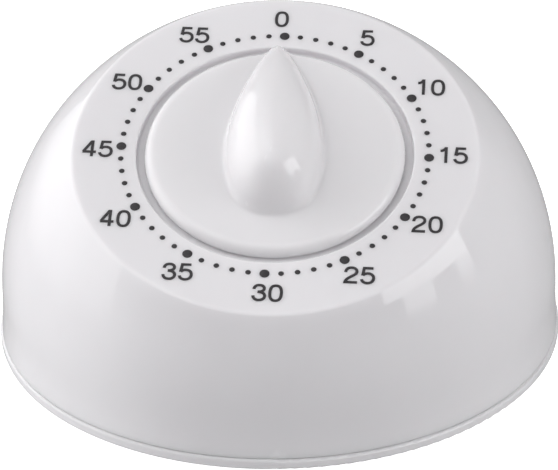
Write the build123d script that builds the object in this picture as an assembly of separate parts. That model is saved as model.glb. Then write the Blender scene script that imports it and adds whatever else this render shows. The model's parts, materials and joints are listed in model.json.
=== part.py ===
from build123d import *
from math import acos, atan2, cos, degrees, pi, radians, sin, sqrt
import os

os.makedirs("parts", exist_ok=True)

# A sixty-minute mechanical dome timer. Millimetres, +Z up, origin at the centre of the base on
# the surface it stands on, -Y towards the user. The dial faces up and towards the user.

# --- Housing -----------------------------------------------------------------------------
BASE_RADIUS = 48.0
FOOT_PROUD = 0.3          # the rubber pads stand this far below the base plate
RIM_HEIGHT = 1.9          # visible edge of the base plate
RIM_TOP = FOOT_PROUD + RIM_HEIGHT
SKIRT_RADIUS = 47.7       # housing wall where it meets the base plate
DOME_RADIUS = 47.35
DOME_CENTRE_Z = 9.4
WALL = 2.2
DIAL_TILT = 23.2          # degrees that the dial leans towards the user
DIAL_DISTANCE = 33.46     # from the dome's centre to the dial
DIAL_EDGE_RADIUS = 1.1
RIM_ROUND = 0.5

# --- Dial plane: x to the right, y up the slope, z out of the dial -----------------------------
NORMAL = (0.0, -sin(radians(DIAL_TILT)), cos(radians(DIAL_TILT)))
DIAL_CENTRE = (
    0.0,
    DIAL_DISTANCE * NORMAL[1],
    DOME_CENTRE_Z + DIAL_DISTANCE * NORMAL[2],
)
DIAL = Plane(origin=DIAL_CENTRE, x_dir=(1, 0, 0), z_dir=NORMAL)

# --- Recess and knob ------------------------------------------------------------------------
RECESS_RADIUS = 22.86
RECESS_DEPTH = 1.3
RECESS_EDGE = 0.3
SHAFT_HOLE_RADIUS = 4.0
BOSS_WALL = 1.2           # round each countersunk screw in the recess
KNOB_RADIUS = 21.47
KNOB_SHOULDER_HEIGHT = 0.95
KNOB_CROWN_HEIGHT = 1.5
KNOB_EDGE_ROUND = 1.7
KNOB_SKIRT = 0.9          # depth of the knob's rim below the dial
KNOB_WALL = 1.8
KNOB_ANGLE = -1.2         # degrees, anticlockwise positive, from straight up the slope
HUB_RADIUS = 3.5
HUB_DEPTH = 4.9
UNDERSIDE_FALL = 0.2      # the knob's underside drops this much towards its rim
GRIP_TIP = 22.6
GRIP_TAIL = -14.3
GRIP_WIDEST = -1.0
GRIP_HIGHEST = -6.0
GRIP_HALF_WIDTH = 8.35
GRIP_TIP_HEIGHT = 1.7
GRIP_HEIGHT = 10.5
GRIP_ROOT = 0.4           # the grip starts this far above the dial, inside the disc
GRIP_TRIM = 0.12          # left off each end of the loft, where its sections would shrink to a point
GRIP_HOLLOW_ROOT = -1.5
GRIP_HOLLOW_TIP = 8.0     # solid lengths of the grip at its tip and at its tail
GRIP_HOLLOW_TAIL = 2.4
GRIP_NARROWEST = 0.3
GRIP_SQUARENESS = 0.8     # 1 gives an elliptical arch, less a squarer one
GRIP_STEPS = 8
GRIP_SECTIONS = 12

# --- Movement, as depths behind the dial ------------------------------------------------------
PLATE_RADIUS = 28.0
PLATE = 1.2
FRONT_PLATE = 6.6
BACK_PLATE = 22.2
CORE_FRONT = 8.3
SPRING_FRONT, SPRING_BACK = 8.8, 13.6
RATCHET_FRONT, RATCHET_BACK = 14.0, 15.0
GREAT_FRONT, GREAT_BACK = 15.2, 16.2
SECOND_FRONT, SECOND_BACK = 17.2, 18.0
THIRD_FRONT, THIRD_BACK = 19.0, 19.8
ESCAPE_FRONT, ESCAPE_BACK = 12.0, 12.7
INERTIA_FRONT, INERTIA_BACK = 17.0, 18.2
CAM_FRONT, CAM_BACK = 19.0, 20.4
RUNNING = 0.04            # radial clearance of a pivot in its hole

# --- Gear train: a sixty-minute turn of the great wheel is 576 turns of the escape wheel ---------
PINION_LEAVES = 8
GREAT_TEETH, GREAT_MODULE = 72, 0.40
SECOND_TEETH, SECOND_MODULE = 64, 0.34
THIRD_TEETH, THIRD_MODULE = 64, 0.28
ESCAPE_TEETH, ESCAPE_TIP, ESCAPE_ROOT = 15, 5.5, 4.2
WHEEL_ADDENDUM = 1.25     # in modules
WHEEL_DEDENDUM = 1.15
WHEEL_TOOTH_HALF = 0.76   # half a tooth's width at the pitch circle, in modules
LEAF_HALF = 0.50
WEB_SHARE = 0.9           # of the root radius, filled behind the teeth
TOOTH_POINT = 0.1         # a wheel tooth's tip is this share of its width
# A wheel tooth above its pitch circle: shares of the addendum and of half the tooth's width.
ADDENDUM_CURVE = ((0.0, 1.0), (0.35, 0.86), (0.65, 0.64), (0.88, 0.35))
PINION_ROOT = 1.65        # depth of a pinion's root below its pitch circle, in modules
WINDOW_CIRCLE = 0.58      # of a wheel's lightening holes, in pitch radii
WINDOW_SIZE = 0.20
LEAF_MARGIN = 0.3         # leaves reach this far past the wheel that turns them

# --- Where the arbors stand, as radius and angle about the main arbor ----------------------------
SECOND_RADIUS = GREAT_MODULE * (GREAT_TEETH + PINION_LEAVES) / 2
THIRD_RADIUS = 17.5
ESCAPE_RADIUS = 20.5
ANCHOR_SPACING = 7.6
SECOND_ANGLE = -75.0


def turn_between(near, far, spacing):
    """The angle at the main arbor between two arbors at these radii and this far apart."""
    return degrees(acos((near**2 + far**2 - spacing**2) / (2 * near * far)))


def polar(radius, angle):
    return (radius * cos(radians(angle)), radius * sin(radians(angle)))


SECOND_SPACING = SECOND_MODULE * (SECOND_TEETH + PINION_LEAVES) / 2
THIRD_SPACING = THIRD_MODULE * (THIRD_TEETH + PINION_LEAVES) / 2
THIRD_ANGLE = SECOND_ANGLE + turn_between(SECOND_RADIUS, THIRD_RADIUS, SECOND_SPACING)
ESCAPE_ANGLE = THIRD_ANGLE + turn_between(THIRD_RADIUS, ESCAPE_RADIUS, THIRD_SPACING)
ANCHOR_ANGLE = ESCAPE_ANGLE + turn_between(ESCAPE_RADIUS, ESCAPE_RADIUS, ANCHOR_SPACING)
SECOND_AT = polar(SECOND_RADIUS, SECOND_ANGLE)
THIRD_AT = polar(THIRD_RADIUS, THIRD_ANGLE)
ESCAPE_AT = polar(ESCAPE_RADIUS, ESCAPE_ANGLE)
ANCHOR_AT = polar(ESCAPE_RADIUS, ANCHOR_ANGLE)
HAMMER_AT = (-11.5, 12.2)

# --- Arbors ----------------------------------------------------------------------------------
MAIN_RADIUS = 2.5
MAIN_CORE_RADIUS = 3.0
MAIN_PIVOT_RADIUS = 1.5
MAIN_FLAT = 1.8           # distance of the flat on the arbor's front end from its axis
MAIN_TOP = 5.0            # the arbor ends this far in front of the dial
ARBOR_RADIUS = 0.6
PIVOT_RADIUS = 0.35
PIVOT_SHOULDER = 0.2      # end play between an arbor's shoulders and the plates
HAMMER_ARBOR_RADIUS = 1.2

# --- Strike ------------------------------------------------------------------------------------
CAM_RADIUS = 6.0
CAM_NOTCH = 1.8
BELL_AT = (0.0, 6.0)
BELL_RADIUS = 18.0
BELL_WALL = 0.9
BELL_RIM, BELL_BACK = 25.0, 31.9
HAMMER_FRONT, HAMMER_BACK = 26.0, 27.2
HAMMER_ARM = 10.0
HAMMER_ARM_ANGLE = 266.0
HAMMER_HEAD_RADIUS = 1.8
HAMMER_HEAD = 2.4
HAMMER_RIVET = 0.4        # the arbor's rear end stands this far out of the arm
ARM_WIDTH, ARM_HUB, ARM_END = 1.8, 2.0, 1.5
FINGER_WIDTH, FINGER_HUB = 1.4, 2.2
FINGER_GAP = 0.25         # between the hammer's finger and the cam
HAMMER_PIVOT = 0.6
HAMMER_REAR = 1.0
HEAD_SPIGOT = 0.9
HAMMER_COIL = 1.95
HAMMER_COIL_PITCH = 0.9
HAMMER_COIL_TURNS = 3
HAMMER_COIL_BACK = 13.0
HAMMER_WIRE = 0.25
BELL_CORNER = 5.0
BELL_SPIGOT = 1.5
BELL_POST = 2.9           # from the middle of the hexagonal post to its corners

# --- Winding, click and mainspring ---------------------------------------------------------------
CLIP_FRONT, CLIP_BACK = 5.7, 6.3
CLIP_BORE, CLIP_OUTER = 1.9, 4.2
CLIP_MOUTH = 3.0
RATCHET_TEETH, RATCHET_ROOT, RATCHET_TIP = 24, 5.0, 6.0
CLICK_AT = polar(9.5, 45.0)
CLICK_STUD = 1.0
CLICK_FRONT, CLICK_BACK = 14.2, 15.0
CLICK_PLAY = 0.1
CLICK_BOSS = 0.9          # metal round the click's hole
STUD_SEAT = 0.8           # metal round the stud's hole in the great wheel
STUD_HEAD_RIM = 0.5
STUD_HEAD = 0.1
CLICK_NOSE = ((5.2, 1.5), (6.4, 14.0), (8.0, 38.0), (10.6, 40.0), (7.2, 6.0), (6.3, 1.5))
CLICK_TAIL = ((9.6, 50.0), (9.8, 80.0), (10.3, 80.0), (10.4, 50.0))
SPRING_HALF_TURNS = 13    # odd, so that the spiral ends opposite its start
SPRING_INNER, SPRING_PITCH, SPRING_STRIP = 3.6, 1.45, 0.35
SPRING_GROWTH = (SPRING_HALF_TURNS - 1) * SPRING_PITCH / 2 + SPRING_PITCH / 4
SPRING_OUTER = SPRING_INNER + SPRING_STRIP + SPRING_GROWTH
SPRING_POST = 0.9
SPRING_POST_SPIGOT = 0.7
SPRING_POST_ANGLE = 150.0
SPRING_POST_AT = polar(SPRING_OUTER + SPRING_POST, SPRING_POST_ANGLE)

# --- Escapement ------------------------------------------------------------------------------------
ESCAPE_TOOTH_HALF = 0.4
ESCAPE_TIP_HALF = 0.5     # degrees
ESCAPE_WINDOW_CIRCLE, ESCAPE_WINDOW = 2.3, 0.8
PALLET_SPAN = 84.0        # three and a half teeth
PALLET_GAP = 0.1
PALLET_THICK = 0.5
PALLET_LENGTH = 1.1
ANCHOR_HUB = 1.5
ANCHOR_ARM = 0.8
ANCHOR_OVERHANG = 0.1     # the anchor is thicker than the escape wheel by this much on each side
INERTIA_RADIUS = 6.6
INERTIA_RIM = 1.6
INERTIA_HUB = 1.4
INERTIA_ANGLE = 30.0

# --- Fasteners, pillars and feet ------------------------------------------------------------------
PILLAR_RADIUS = 2.2
PILLAR_CIRCLE = 24.5
PILLAR_ANGLES = (45, 115, 180, 248)
PILLAR_SPIGOT = 1.4
SCREW_SHANK = 1.25
SCREW_HEAD = 2.3
HEAD = 1.2
SLOT_WIDTH = 0.6
SLOT_DEPTH = 0.5
THREAD = 4.0
THREAD_SPARE = 0.4        # the tapped hole goes on this far past the screw
MOVEMENT_SCREW_CIRCLE = 12.0
MOVEMENT_SCREW_ANGLES = (90, 210, 330)
BASE_SCREW_CIRCLE = 40.0
BASE_SCREW_ANGLES = (45, 135, 225, 315)
BASE_SHANK = 1.45
BASE_HEAD = 2.8
BASE_SCREW_LENGTH = 9.0
BASE_HEAD_HEIGHT = 1.0
BASE_SLOT = 0.7
BASE_HOLE_PLAY = 0.2
BASE_HEAD_PLAY = 0.3
PILOT_SPARE = 0.5         # the pilot hole goes on this far past the screw
POST_RADIUS = 3.4
FOOT_CIRCLE = 38.0
FOOT_ANGLES = (0, 90, 180, 270)
FOOT_RADIUS = 5.0
FOOT_POCKET = 0.9
RING_GAP = 0.3            # between the base plate's locating ring and the housing
RING_HEIGHT = 3.0
RING = 1.5
BASE_HEAD_SINK = 1.1
SOUND_HOLE = 1.5
SOUND_RINGS = ((6.0, 6), (12.0, 12))


# --- Helpers -------------------------------------------------------------------------------------
def rod(radius, low, high, at=(0, 0)):
    """A cylinder along z from low to high."""
    cylinder = Cylinder(radius, high - low, align=(Align.CENTER, Align.CENTER, Align.MIN))
    return Pos(at[0], at[1], low) * cylinder


def deep(radius, front, back, at=(0, 0)):
    """A cylinder between two depths behind the dial, in the dial's own frame."""
    return rod(radius, -back, -front, at)


def fused(shapes):
    result = shapes[0]
    for shape in shapes[1:]:
        result = result + shape
    return result


def slab(face, front, back, at=(0, 0), angle=0.0):
    """A flat outline as a plate between two depths behind the dial, turned and moved."""
    plate = extrude(Rot(0, 0, angle) * face, back - front)
    return Pos(at[0], at[1], -back) * plate


def circle_places(radius, angles):
    return [polar(radius, angle) for angle in angles]


# --- Housing -------------------------------------------------------------------------------------
def dome(inset):
    """The solid of revolution inside the housing's outer surface, drawn in by inset, cut at the dial."""
    radius = DOME_RADIUS - inset
    low = (SKIRT_RADIUS - inset, RIM_TOP)
    equator = (radius, DOME_CENTRE_Z)
    crown = (0, DOME_CENTRE_Z + radius)
    middle = (radius * sqrt(0.5), DOME_CENTRE_Z + radius * sqrt(0.5))
    outline = Curve() + [
        Line((0, RIM_TOP), low),
        TangentArc(equator, low, tangent=(0, -1)),
        ThreePointArc(equator, middle, crown),
        Line(crown, (0, RIM_TOP)),
    ]
    solid = revolve(Plane.XZ * make_face(outline), Axis.Z)
    cut = DIAL.offset(-inset)
    return split(solid, bisect_by=cut, keep=Keep.BOTTOM)


def upper_housing():
    outer = dome(0)
    dial_face = outer.faces().sort_by(Axis(DIAL_CENTRE, NORMAL))[-1]
    rounded = fillet(dial_face.edges(), DIAL_EDGE_RADIUS)
    shell = rounded - dome(WALL)
    floor_back = RECESS_DEPTH + WALL
    cup = deep(RECESS_RADIUS + WALL, WALL / 2, floor_back)
    bosses = [deep(SCREW_HEAD + BOSS_WALL, floor_back, FRONT_PLATE, at) for at in movement_screw_places()]
    shell = shell + DIAL.location * fused([cup] + bosses)
    shell = shell + housing_posts() - DIAL.location * housing_cuts()
    return shell


def housing_posts():
    """Screw posts that run from the base plate up to the underside of the dome."""
    places = circle_places(BASE_SCREW_CIRCLE, BASE_SCREW_ANGLES)
    tall = fused([rod(POST_RADIUS, RIM_TOP, DOME_CENTRE_Z + DOME_RADIUS, at) for at in places])
    posts = tall & dome(WALL / 2)
    pilots = [rod(BASE_SHANK, RIM_TOP, RIM_TOP + BASE_SCREW_LENGTH, at) for at in places]
    return posts - fused(pilots)


def housing_cuts():
    """The knob's recess with a softened mouth, the shaft hole and the screws' countersinks."""
    recess = deep(RECESS_RADIUS, 0, RECESS_DEPTH)
    mouth = Cone(
        RECESS_RADIUS,
        RECESS_RADIUS + 2 * RECESS_EDGE,
        2 * RECESS_EDGE,
    )
    cuts = [recess, mouth, deep(SHAFT_HOLE_RADIUS, 0, FRONT_PLATE)]
    for at in movement_screw_places():
        cuts.append(deep(SCREW_SHANK, RECESS_DEPTH, FRONT_PLATE, at))
        cuts.append(screw_head(at, RECESS_DEPTH))
    return fused(cuts)


def base_plate():
    low, high = FOOT_PROUD, RIM_TOP
    disc = rod(BASE_RADIUS, low, high)
    disc = fillet(disc.edges().filter_by(GeomType.CIRCLE), RIM_ROUND)
    ring_out = SKIRT_RADIUS - WALL - RING_GAP
    ring = rod(ring_out, high, high + RING_HEIGHT) - rod(ring_out - RING, high, high + RING_HEIGHT)
    screw_places = circle_places(BASE_SCREW_CIRCLE, BASE_SCREW_ANGLES)
    pockets = [rod(FOOT_RADIUS, low, low + FOOT_POCKET, at) for at in foot_places()]
    holes = [rod(BASE_SHANK + BASE_HOLE_PLAY, low, high, at) for at in screw_places]
    counterbores = [rod(BASE_HEAD + BASE_HEAD_PLAY, low, low + BASE_HEAD_SINK, at) for at in screw_places]
    sound = [rod(SOUND_HOLE, low, high, polar(radius, angle)) for radius, angle in sound_holes()]
    return disc + ring - fused(pockets + holes + counterbores + sound)


def sound_holes():
    """One hole in the middle and two rings round it, which let the bell be heard."""
    places = [(0.0, 0.0)]
    for radius, count in SOUND_RINGS:
        places += [(radius, 360 * step / count) for step in range(count)]
    return places


def foot_places():
    return circle_places(FOOT_CIRCLE, FOOT_ANGLES)


def rubber_feet():
    return fused([rod(FOOT_RADIUS, 0, FOOT_PROUD + FOOT_POCKET, at) for at in foot_places()])


def base_screws():
    head_top = FOOT_PROUD + BASE_HEAD_SINK

    def screw(at):
        head_low = head_top - BASE_HEAD_HEIGHT
        head = rod(BASE_HEAD, head_low, head_top, at)
        slot = Pos(at[0], at[1], head_low) * Box(2 * BASE_HEAD, BASE_SLOT, BASE_HEAD_HEIGHT)
        shank = rod(BASE_SHANK, head_top, RIM_TOP + BASE_SCREW_LENGTH - PILOT_SPARE, at)
        return head - slot + shank

    return fused([screw(at) for at in circle_places(BASE_SCREW_CIRCLE, BASE_SCREW_ANGLES)])


# --- Knob ----------------------------------------------------------------------------------------
def knob_disc():
    """The knob's shallow crowned disc with a rounded edge and a hollow underside."""
    edge = KNOB_RADIUS
    turn = edge - KNOB_EDGE_ROUND
    shoulder = (turn, KNOB_SHOULDER_HEIGHT)
    crown_mid = (turn / 2, KNOB_CROWN_HEIGHT - (KNOB_CROWN_HEIGHT - KNOB_SHOULDER_HEIGHT) / 4)
    edge_low = (edge, KNOB_SHOULDER_HEIGHT - KNOB_EDGE_ROUND)
    along = KNOB_EDGE_ROUND * sqrt(0.5)
    edge_mid = (turn + along, edge_low[1] + along)
    under = KNOB_CROWN_HEIGHT - KNOB_WALL
    inner = edge - KNOB_WALL
    outline = Curve() + [
        ThreePointArc((0, KNOB_CROWN_HEIGHT), crown_mid, shoulder),
        ThreePointArc(shoulder, edge_mid, edge_low),
        Polyline(
            edge_low,
            (edge, -KNOB_SKIRT),
            (inner, -KNOB_SKIRT),
            (inner, under - UNDERSIDE_FALL),
            (0, under),
            (0, KNOB_CROWN_HEIGHT),
        ),
    ]
    return revolve(Plane.XZ * make_face(outline), Axis.Z)


def grip_half_width(y):
    if y >= GRIP_WIDEST:
        reach = (y - GRIP_WIDEST) / (GRIP_TIP - GRIP_WIDEST)
        return GRIP_HALF_WIDTH * (1 - reach**2)
    reach = (GRIP_WIDEST - y) / (GRIP_WIDEST - GRIP_TAIL)
    return GRIP_HALF_WIDTH * (1 - reach**2.5) ** 0.4


def grip_height(y):
    if y >= GRIP_HIGHEST:
        reach = (y - GRIP_HIGHEST) / (GRIP_TIP - GRIP_HIGHEST)
        return GRIP_TIP_HEIGHT + (GRIP_HEIGHT - GRIP_TIP_HEIGHT) * (1 - reach**2)
    reach = (GRIP_HIGHEST - y) / (GRIP_HIGHEST - GRIP_TAIL)
    return KNOB_SHOULDER_HEIGHT + (GRIP_HEIGHT - KNOB_SHOULDER_HEIGHT) * (1 - reach**2.2) ** 0.45


def grip_section(y, base, inset):
    """The grip's arched cross-section at one place along its length."""
    half = max(grip_half_width(y) - inset, GRIP_NARROWEST)
    rise = grip_height(y) - inset - base
    points = []
    for step in range(GRIP_STEPS + 1):
        angle = pi * step / GRIP_STEPS
        side = 1 if cos(angle) >= 0 else -1
        across = -side * half * abs(cos(angle)) ** GRIP_SQUARENESS
        points.append((across, base + rise * sin(angle) ** GRIP_SQUARENESS))
    outline = Curve() + [Spline(*points), Line(points[-1], points[0])]
    section_plane = Plane(origin=(0, y, 0), x_dir=(1, 0, 0), z_dir=(0, -1, 0))
    return section_plane * make_face(outline)


def grip(base, inset, front, back):
    """A loft through sections packed closer together towards both ends."""
    middle, reach = (front + back) / 2, (front - back) / 2
    turns = [pi * step / (GRIP_SECTIONS - 1) for step in range(GRIP_SECTIONS)]
    places = [middle + reach * cos(turn) for turn in turns]
    return loft([grip_section(y, base, inset) for y in places])


def shaft_bore(low, high):
    """The round shaft with one flat, which carries the knob round."""
    side = 4 * MAIN_RADIUS
    beyond_flat = Pos(MAIN_FLAT + side / 2, 0, (low + high) / 2) * Box(side, side, 2 * (high - low))
    return rod(MAIN_RADIUS, low, high) - beyond_flat


def knob():
    body = knob_disc()
    body = body + grip(GRIP_ROOT, 0, GRIP_TIP - GRIP_TRIM, GRIP_TAIL + GRIP_TRIM)
    hollow_tip, hollow_tail = GRIP_TIP - GRIP_HOLLOW_TIP, GRIP_TAIL + GRIP_HOLLOW_TAIL
    body = body - grip(GRIP_HOLLOW_ROOT, KNOB_WALL, hollow_tip, hollow_tail)
    body = body + rod(HUB_RADIUS, -HUB_DEPTH, GRIP_HEIGHT - KNOB_WALL)
    body = body - shaft_bore(-HUB_DEPTH - 1, MAIN_TOP)
    return Rot(0, 0, KNOB_ANGLE) * body


# --- Gears ---------------------------------------------------------------------------------------
def ring_of_teeth(tooth, teeth, root_radius):
    """A toothed outline: one tooth's outline repeated round a disc of the root radius."""
    outline = []
    for index in range(teeth):
        turned = [(radius, angle + 360 * index / teeth) for radius, angle in tooth]
        outline += [polar(radius, angle) for radius, angle in turned]
    return make_face(Polyline(*outline, close=True)) + Circle(WEB_SHARE * root_radius)


def wheel_face(teeth, module):
    """A clock wheel: radial flanks below the pitch circle and a rounded point above it."""
    pitch = module * teeth / 2
    half = degrees(WHEEL_TOOTH_HALF * module / pitch)
    root = pitch - WHEEL_DEDENDUM * module
    tip = pitch + WHEEL_ADDENDUM * module
    rise = tip - pitch
    flank = [(root, half)] + [(pitch + rise * up, half * side) for up, side in ADDENDUM_CURVE]
    tooth = [(radius, -angle) for radius, angle in flank]
    tooth.append((tip, -TOOTH_POINT * half))
    tooth.append((tip, TOOTH_POINT * half))
    tooth += [(radius, angle) for radius, angle in reversed(flank)]
    return ring_of_teeth(tooth, teeth, root)


def pinion_face(module):
    """A pinion: radial leaves with round tops."""
    pitch = module * PINION_LEAVES / 2
    half = degrees(LEAF_HALF * module / pitch)
    root = pitch - PINION_ROOT * module
    top = LEAF_HALF * module
    round_top = [
        (pitch + top * sin(radians(turn)), half * cos(radians(turn))) for turn in (0, 30, 60)
    ]
    flank = [(root, half)] + round_top
    leaf = [(radius, -angle) for radius, angle in flank]
    leaf.append((pitch + top, 0.0))
    leaf += [(radius, angle) for radius, angle in reversed(flank)]
    return ring_of_teeth(leaf, PINION_LEAVES, root)


def heading(start, end):
    """The direction from one arbor to another, in degrees."""
    return degrees(atan2(end[1] - start[1], end[0] - start[0]))


def wheel(teeth, module, front, back, at, partner, bore):
    """A wheel with a gap facing the pinion that it turns, lightened by a ring of round holes."""
    face = Rot(0, 0, heading(at, partner) + 180 / teeth) * wheel_face(teeth, module) - Circle(bore)
    pitch = module * teeth / 2
    for angle in range(15, 360, 60):
        face = face - Pos(*polar(WINDOW_CIRCLE * pitch, angle)) * Circle(WINDOW_SIZE * pitch)
    return slab(face, front, back, at)


def arbor(at, module, driver, driver_front, driver_back):
    """A steel arbor cut from one bar, with its pinion's leaf facing the wheel that drives it."""
    shape = shaft(at)
    front, back = driver_front - LEAF_MARGIN, driver_back + LEAF_MARGIN
    return shape + slab(pinion_face(module), front, back, at, heading(at, driver))


def shaft(at):
    front = FRONT_PLATE + PLATE + PIVOT_SHOULDER
    back = BACK_PLATE - PIVOT_SHOULDER
    pivots = deep(PIVOT_RADIUS, FRONT_PLATE, BACK_PLATE + PLATE, at)
    return deep(ARBOR_RADIUS, front, back, at) + pivots


# --- Winding group, which turns with the knob --------------------------------------------------
def main_arbor():
    flat_end = Rot(0, 0, KNOB_ANGLE) * shaft_bore(-HUB_DEPTH, MAIN_TOP)
    front = deep(MAIN_RADIUS, HUB_DEPTH, CORE_FRONT)
    groove = deep(CLIP_OUTER, CLIP_FRONT, CLIP_BACK) - deep(CLIP_BORE, CLIP_FRONT, CLIP_BACK)
    core = deep(MAIN_CORE_RADIUS, CORE_FRONT, RATCHET_FRONT)
    seat = deep(MAIN_RADIUS, RATCHET_FRONT, BACK_PLATE - PIVOT_SHOULDER)
    pivot = deep(MAIN_PIVOT_RADIUS, BACK_PLATE - PIVOT_SHOULDER, BACK_PLATE + PLATE)
    return flat_end + front + core + seat + pivot - groove


def arbor_clip():
    """An open retaining ring in the arbor's groove, in front of the movement."""
    mouth = Pos(0, -CLIP_OUTER) * Rectangle(CLIP_MOUTH, 2 * CLIP_OUTER)
    return slab(Circle(CLIP_OUTER) - Circle(CLIP_BORE) - mouth, CLIP_FRONT, CLIP_BACK)


def ratchet_wheel():
    """Saw teeth whose steep sides push the click round as the spring runs down."""
    step = 360 / RATCHET_TEETH
    outline = []
    for index in range(RATCHET_TEETH):
        outline.append(polar(RATCHET_ROOT, index * step))
        outline.append(polar(RATCHET_TIP, (index + 1) * step))
    face = make_face(Polyline(*outline, close=True)) - Circle(MAIN_RADIUS)
    return slab(face, RATCHET_FRONT, RATCHET_BACK)


def great_wheel():
    shape = wheel(
        GREAT_TEETH, GREAT_MODULE, GREAT_FRONT, GREAT_BACK, (0, 0), SECOND_AT, MAIN_RADIUS
    )
    seat = deep(CLICK_STUD + STUD_SEAT, GREAT_FRONT, GREAT_BACK, CLICK_AT)
    return shape + seat - deep(CLICK_STUD, GREAT_FRONT, GREAT_BACK, CLICK_AT)


def click():
    """The pawl that rests against a ratchet tooth, with a thin springy tail of its own."""
    nose, tail = [
        make_face(Polyline(*[polar(*point) for point in outline], close=True))
        for outline in (CLICK_NOSE, CLICK_TAIL)
    ]
    boss = Pos(*CLICK_AT) * Circle(CLICK_STUD + CLICK_BOSS)
    hole = Pos(*CLICK_AT) * Circle(CLICK_STUD + RUNNING)
    return slab(nose + boss + tail - hole, CLICK_FRONT, CLICK_BACK)


def click_stud():
    """The rivet that the click turns on, headed over on both sides."""
    head_back = CLICK_FRONT - CLICK_PLAY
    post = deep(CLICK_STUD, head_back, GREAT_BACK, CLICK_AT)
    return post + deep(CLICK_STUD + STUD_HEAD_RIM, head_back - STUD_HEAD, head_back, CLICK_AT)


def trip_cam():
    """A plain disc with one notch, which lets the hammer's finger fall at zero."""
    angle = heading((0, 0), HAMMER_AT)
    notch = Rot(0, 0, angle) * (Pos(CAM_RADIUS, 0) * RegularPolygon(CAM_NOTCH, 3, rotation=180))
    return slab(Circle(CAM_RADIUS) - notch - Circle(MAIN_RADIUS), CAM_FRONT, CAM_BACK)


# --- Movement frame ------------------------------------------------------------------------------
def movement_screw_places():
    return circle_places(MOVEMENT_SCREW_CIRCLE, MOVEMENT_SCREW_ANGLES)


def pillar_places():
    return circle_places(PILLAR_CIRCLE, PILLAR_ANGLES)


def pivot_places():
    return [SECOND_AT, THIRD_AT, ESCAPE_AT, ANCHOR_AT]


def front_plate():
    front, back = FRONT_PLATE, FRONT_PLATE + PLATE
    holes = [deep(MAIN_RADIUS + RUNNING, front, back)]
    holes += [deep(PIVOT_RADIUS + RUNNING, front, back, at) for at in pivot_places()]
    holes.append(deep(HAMMER_PIVOT + RUNNING, front, back, HAMMER_AT))
    holes += [deep(PILLAR_SPIGOT, front, back, at) for at in pillar_places()]
    holes += [deep(SCREW_SHANK, front, back, at) for at in movement_screw_places()]
    holes.append(deep(SPRING_POST_SPIGOT, front, back, SPRING_POST_AT))
    return deep(PLATE_RADIUS, front, back) - fused(holes)


def back_plate():
    front, back = BACK_PLATE, BACK_PLATE + PLATE
    holes = [deep(MAIN_PIVOT_RADIUS + RUNNING, front, back)]
    holes += [deep(PIVOT_RADIUS + RUNNING, front, back, at) for at in pivot_places()]
    holes.append(deep(HAMMER_REAR + RUNNING, front, back, HAMMER_AT))
    holes += [deep(SCREW_SHANK, front, back, at) for at in pillar_places()]
    holes.append(deep(BELL_SPIGOT, front, back, BELL_AT))
    return deep(PLATE_RADIUS, front, back) - fused(holes)


def pillars():
    def pillar(at):
        post = deep(PILLAR_RADIUS, FRONT_PLATE + PLATE, BACK_PLATE, at)
        spigot = deep(PILLAR_SPIGOT, FRONT_PLATE, FRONT_PLATE + PLATE, at)
        return post + spigot - deep(SCREW_SHANK, BACK_PLATE - THREAD, BACK_PLATE, at)

    return fused([pillar(at) for at in pillar_places()])


# The cutter that leaves a driver's slot in a head, set with its middle on the head's face.
SCREW_SLOT = Box(3 * SCREW_HEAD, SLOT_WIDTH, 2 * SLOT_DEPTH)


def screw_head(at, depth):
    """A countersunk head, flush with the floor at this depth."""
    sink = SCREW_HEAD - SCREW_SHANK
    cone = Cone(SCREW_SHANK, SCREW_HEAD, sink, align=(Align.CENTER, Align.CENTER, Align.MIN))
    return Pos(at[0], at[1], -depth - sink) * cone


def movement_screws():
    def screw(at):
        slot = Pos(at[0], at[1], -RECESS_DEPTH) * SCREW_SLOT
        shank = deep(SCREW_SHANK, RECESS_DEPTH + SLOT_DEPTH, FRONT_PLATE + PLATE, at)
        return screw_head(at, RECESS_DEPTH) + shank - slot

    return fused([screw(at) for at in movement_screw_places()])


def cheese_screw(at, under_head, length):
    """A slotted screw entered from behind, with its head standing on a surface at this depth."""
    head = deep(SCREW_HEAD, under_head, under_head + HEAD, at)
    slot = Pos(at[0], at[1], -under_head - HEAD) * SCREW_SLOT
    return head - slot + deep(SCREW_SHANK, under_head - length, under_head, at)


def pillar_screws():
    surface = BACK_PLATE + PLATE
    return fused([cheese_screw(at, surface, PLATE + THREAD - THREAD_SPARE) for at in pillar_places()])


# --- Mainspring ----------------------------------------------------------------------------------
def spiral_edge(radius):
    """Half turns about two centres in turn, each a little larger than the one before."""
    arcs = []
    for index in range(SPRING_HALF_TURNS):
        side = 1 if index % 2 == 0 else -1
        centre = -side * SPRING_PITCH / 4
        reach = radius + index * SPRING_PITCH / 2
        start = (centre + side * reach, 0)
        middle = (centre, side * reach)
        end = (centre - side * reach, 0)
        arcs.append(ThreePointArc(start, middle, end))
    return arcs


def mainspring():
    """A spiral of spring strip round the arbor's core, its outer end held by the post."""
    inside = spiral_edge(SPRING_INNER)
    outside = spiral_edge(SPRING_INNER + SPRING_STRIP)
    ends = [Line(inside[0] @ 0, outside[0] @ 0), Line(inside[-1] @ 1, outside[-1] @ 1)]
    face = make_face(Curve() + inside + outside + ends)
    return slab(face, SPRING_FRONT, SPRING_BACK, angle=SPRING_POST_ANGLE - 180)


def spring_post():
    post = deep(SPRING_POST, FRONT_PLATE + PLATE, SPRING_BACK, SPRING_POST_AT)
    return post + deep(SPRING_POST_SPIGOT, FRONT_PLATE, FRONT_PLATE + PLATE, SPRING_POST_AT)


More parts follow.
